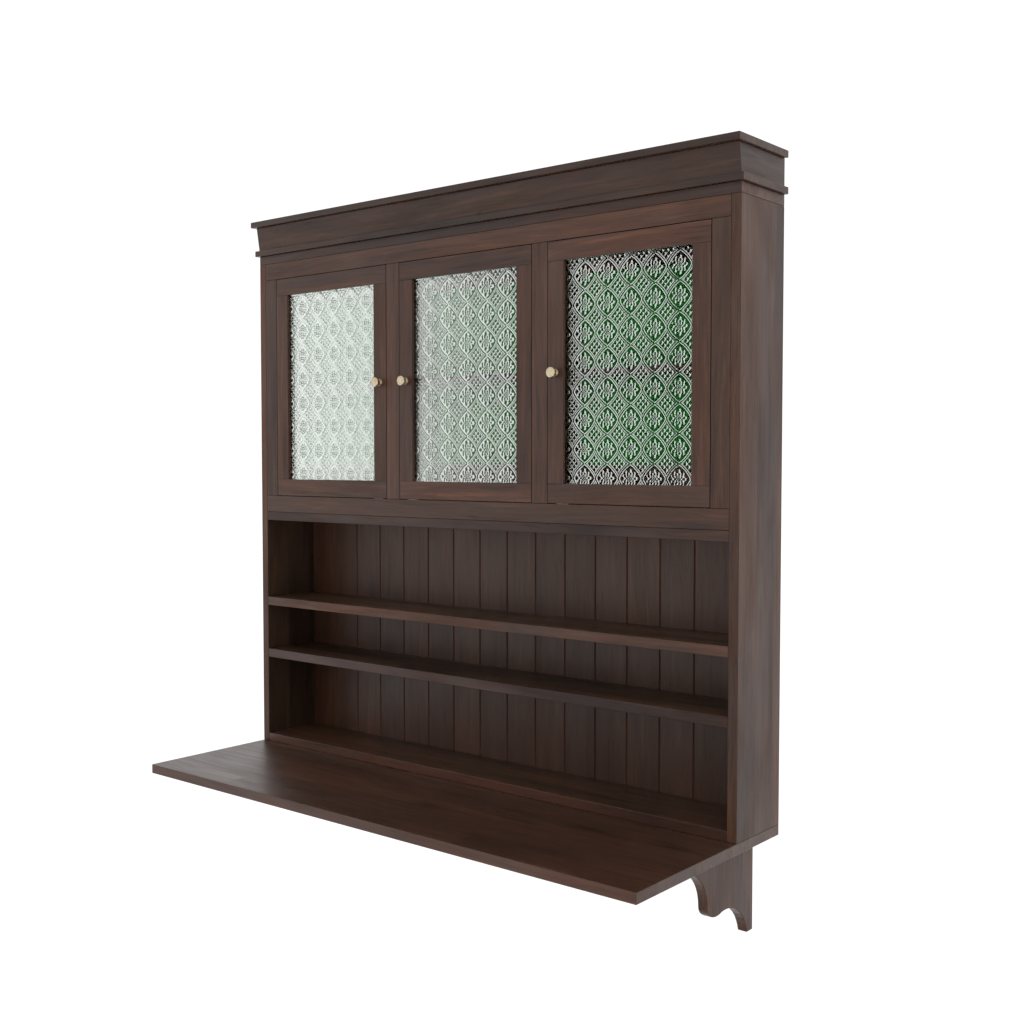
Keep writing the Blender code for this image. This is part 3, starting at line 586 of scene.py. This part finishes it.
# turned knob: radius and reach from the door, in millimetres, from the crown of the head to the rose
knobTurning = {
    "steps": 56, "sharp": 32,
    "profile": [
        (0, 18.8), (2.4, 18.74), (4.7, 18.5), (6.5, 18.1), (8.0, 17.55), (8.35, 17.3), (8.7, 17.3), (9.1, 17.1),
        (9.75, 16.5), (10.25, 15.65), (10.4, 14.7), (10.25, 13.85), (9.75, 13.05), (8.9, 12.4), (7.8, 11.9),
        (6.9, 11.5), (6.3, 11.0), (5.9, 10.3), (5.65, 9.3), (5.5, 8.2), (5.45, 7.1), (5.5, 5.9), (5.7, 4.8),
        (5.95, 4.1), (6.2, 3.65), (6.4, 3.4), (6.45, 3.05), (6.8, 2.95), (7.1, 2.55), (7.3, 1.95), (7.3, 1.3),
        (7.1, 1.05), (7.3, 0.8), (7.3, 0), (0, 0)],
}


def spun(profile, steps):
    bm = bmesh.new()
    rounds = [bm.verts.new((radius / 1000, -(reach / 1000), 0)) for radius, reach in profile]
    for first, second in zip(rounds, rounds[1:]):
        bm.edges.new((first, second))
    bmesh.ops.spin(bm, geom=bm.verts[:] + bm.edges[:], cent=(0, 0, 0), axis=(0, 1, 0), dvec=(0, 0, 0),
                   angle=math.tau, steps=steps, use_merge=True)
    bmesh.ops.remove_doubles(bm, verts=bm.verts, dist=1e-6)
    bmesh.ops.recalc_face_normals(bm, faces=bm.faces)
    return bm


for door in ("left", "middle", "right"):
    low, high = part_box(f"door_{door}_knob")
    bm = spun(knobTurning["profile"], knobTurning["steps"])
    bmesh.ops.translate(bm, vec=((low.x + high.x) / 2, high.y, (low.z + high.z) / 2), verts=bm.verts)
    finishPiece(bm, f"knob_{door}", f"door_{door}", brass, [f"door_{door}_knob"], sharp=knobTurning["sharp"])
print("knobs turned")


# small fittings, stamped from a few shapes that face along +Z; turned profiles in millimetres
fittings = {
    "sharp": 30,
    # at: how far along the hinge leaf from its pivot end; taper and slotDeep: parts of the radius and height
    "leafScrew": {"radius": 0.0026, "taper": 0.82, "height": 0.00030, "slot": 0.0006, "slotDeep": 0.6, "steps": 20,
                  "at": (0.32, 0.80)},
    "wallScrew": {"radius": 0.0052, "taper": 0.82, "height": 0.0022, "slot": 0.0011, "slotDeep": 0.6, "steps": 28,
                  "x": (-0.46, -0.32, -0.09, 0.09, 0.32, 0.46), "roll": 40},
    "cup": {"steps": 28, "profile": [(4.4, 0.0), (8.0, 0.0), (8.2, 0.35), (7.6, 1.0), (6.4, 1.7), (5.4, 2.0),
                                     (4.6, 1.7), (4.4, 0.0)]},
    "pin": {"radius": 0.0017, "taper": 0.7, "height": 0.0004, "steps": 10, "eachSide": 8},
    "ball": {"radius": 0.0032, "proud": 0.0008, "segments": (20, 12), "inset": 0.030, "forward": 0.0005},
    "ballRing": {"steps": 24, "profile": [(3.3, 0.0), (5.0, 0.0), (5.0, 0.12), (4.7, 0.25), (3.5, 0.25),
                                          (3.3, 0.12), (3.3, 0.0)]},
    "strike": {"size": (0.030, 0.012, 0.0004), "corner": 0.004, "cornerSteps": 5, "rim": 0.0006, "sunk": 0.3},
}


def keepShape(bm, name):
    bmesh.ops.recalc_face_normals(bm, faces=bm.faces)
    mesh = bpy.data.meshes.new(name)
    bm.to_mesh(mesh)
    bm.free()
    return mesh


def everything(bm):
    return bm.verts[:] + bm.edges[:] + bm.faces[:]


def coneHead(size):
    bm = bmesh.new()
    bmesh.ops.create_cone(bm, cap_ends=True, segments=size["steps"], radius1=size["radius"],
                          radius2=size["radius"] * size["taper"], depth=size["height"])
    bmesh.ops.translate(bm, vec=(0, 0, size["height"] / 2), verts=bm.verts)
    return bm


def slottedHead(size):
    bm = coneHead(size)
    for way in (-1, 1):
        edge = (0, way * size["slot"] / 2, 0)
        bmesh.ops.bisect_plane(bm, geom=everything(bm), plane_co=edge, plane_no=(0, way, 0))
    strip = [face for face in bm.faces
             if face.normal.z > 0.9 and abs(face.calc_center_median().y) < size["slot"] / 4]
    floorParts = bmesh.ops.extrude_face_region(bm, geom=strip)["geom"]
    bmesh.ops.delete(bm, geom=strip, context="FACES_ONLY")
    floorVerts = [part for part in floorParts if isinstance(part, bmesh.types.BMVert)]
    bmesh.ops.translate(bm, vec=(0, 0, -size["height"] * size["slotDeep"]), verts=floorVerts)
    return keepShape(bm, "slottedHead")


def spunUp(size):
    bm = spun(size["profile"], size["steps"])
    bmesh.ops.rotate(bm, cent=(0, 0, 0), matrix=Matrix.Rotation(math.radians(-90), 3, "X"), verts=bm.verts)
    return keepShape(bm, "spunUp")


def catchBall(size):
    around, upright = size["segments"]
    bm = bmesh.new()
    bmesh.ops.create_uvsphere(bm, u_segments=around, v_segments=upright, radius=size["radius"])
    bmesh.ops.translate(bm, vec=(0, 0, size["proud"] - size["radius"]), verts=bm.verts)
    cut = bmesh.ops.bisect_plane(
        bm, geom=everything(bm), plane_co=(0, 0, 0), plane_no=(0, 0, -1), clear_outer=True)
    rim = [part for part in cut["geom_cut"] if isinstance(part, bmesh.types.BMEdge)]
    bmesh.ops.contextual_create(bm, geom=rim)
    return keepShape(bm, "catchBall")


def strikePlate(size):
    length, width, thick = size["size"]
    bm = bmesh.new()
    bmesh.ops.create_cube(bm, size=1.0)
    bmesh.ops.scale(bm, vec=(length, width, thick), verts=bm.verts)
    bmesh.ops.translate(bm, vec=(0, 0, thick / 2), verts=bm.verts)
    upright = [line for line in bm.edges if abs(line.verts[0].co.z - line.verts[1].co.z) > thick / 2]
    bmesh.ops.bevel(bm, geom=upright, offset=size["corner"], affect="EDGES", segments=size["cornerSteps"],
                    profile=0.5, material=-1)
    # the top is sunk inside a narrow rim
    top = [face for face in bm.faces if face.normal.z > 0.9]
    bmesh.ops.inset_region(bm, faces=top, thickness=size["rim"], depth=0.0)
    inside = [vert for vert in bm.verts if vert.co.z > thick / 2
              and not any(abs(face.normal.z) < 0.5 for face in vert.link_faces)]
    bmesh.ops.translate(bm, vec=(0, 0, -thick * size["sunk"]), verts=inside)
    return keepShape(bm, "strikePlate")


def stampPieces(name, body, stamps):
    bm = bmesh.new()
    for mesh, matrix in stamps:
        first = len(bm.verts)
        bm.from_mesh(mesh)
        bm.verts.ensure_lookup_table()
        bmesh.ops.transform(bm, matrix=matrix, verts=bm.verts[first:])
    finishPiece(bm, name, body, brass, sharp=fittings["sharp"])


turned = {"up": Matrix.Identity(4), "down": Matrix.Rotation(math.pi, 4, "X"),
          "front": Matrix.Rotation(math.pi / 2, 4, "X"), "back": Matrix.Rotation(-math.pi / 2, 4, "X")}


def facingAt(way, x, y, z, roll=0.0):
    return Matrix.Translation((x, y, z)) @ turned[way] @ Matrix.Rotation(math.radians(roll), 4, "Z")


# screws of each hinge end: way they face and roll in degrees, in the door's leaf and then in the frame's
hingeScrews = {"top": ("up", 35, "down", 70), "bottom": ("down", 20, "up", 10)}

leafScrew, strike = slottedHead(fittings["leafScrew"]), strikePlate(fittings["strike"])
ball, ballRing = catchBall(fittings["ball"]), spunUp(fittings["ballRing"])
caseStamps = []
for door in ("left", "middle", "right"):
    doorStamps = []
    for end, (doorWay, doorRoll, frameWay, frameRoll) in hingeScrews.items():
        leafLow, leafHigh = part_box(f"hinge_{door}_{end}_door_leaf")
        railLow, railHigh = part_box(f"frame_{end}_rail")
        doorZ, frameZ = (leafHigh.z, railLow.z) if end == "top" else (leafLow.z, railHigh.z)
        y = (leafLow.y + leafHigh.y) / 2
        for share in fittings["leafScrew"]["at"]:
            reach = (leafHigh.x - leafLow.x) * share
            x = leafLow.x + reach if door == "left" else leafHigh.x - reach
            doorStamps.append((leafScrew, facingAt(doorWay, x, y, doorZ, doorRoll)))
            caseStamps.append((leafScrew, facingAt(frameWay, x, y, frameZ, frameRoll)))
    # ball catch under the free stile, its strike in the frame below
    railLow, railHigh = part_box(f"door_{door}_rail_bottom")
    inset = fittings["ball"]["inset"]
    x = railHigh.x - inset if door == "left" else railLow.x + inset
    y = (railLow.y + railHigh.y) / 2 - fittings["ball"]["forward"]
    doorStamps += [(ball, facingAt("down", x, y, railLow.z)), (ballRing, facingAt("down", x, y, railLow.z))]
    caseStamps.append((strike, facingAt("up", x, y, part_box("frame_bottom_rail")[1].z)))
    stampPieces(f"door_{door}_fittings", f"door_{door}", doorStamps)
stampPieces("frame_fittings", "case", caseStamps)

# cup-washered screws that hold the hanging rails to the wall
wallScrew, cup = slottedHead(fittings["wallScrew"]), spunUp(fittings["cup"])
wallStamps = []
for rail in ("hanging_rail_top", "hanging_rail_bottom"):
    low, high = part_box(rail)
    z = (low.z + high.z) / 2
    for count, x in enumerate(fittings["wallScrew"]["x"]):
        roll = fittings["wallScrew"]["roll"] * count
        wallStamps += [(cup, facingAt("front", x, low.y, z)), (wallScrew, facingAt("front", x, low.y, z, roll))]
stampPieces("wall_screws", "case", wallStamps)

# pins through the back boards into the shelves
pin = keepShape(coneHead(fittings["pin"]), "pinHead")
pitch = staveChoice["planks"][0]
pinStamps = []
for board in ("bottom_board", "lower_shelf", "upper_shelf"):
    low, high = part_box(board)
    for step in range(-fittings["pin"]["eachSide"], fittings["pin"]["eachSide"]):
        pinStamps.append((pin, facingAt("back", (step + 0.5) * pitch, 0, (low.z + high.z) / 2)))
stampPieces("back_pins", "case", pinStamps)
print("fittings stamped")
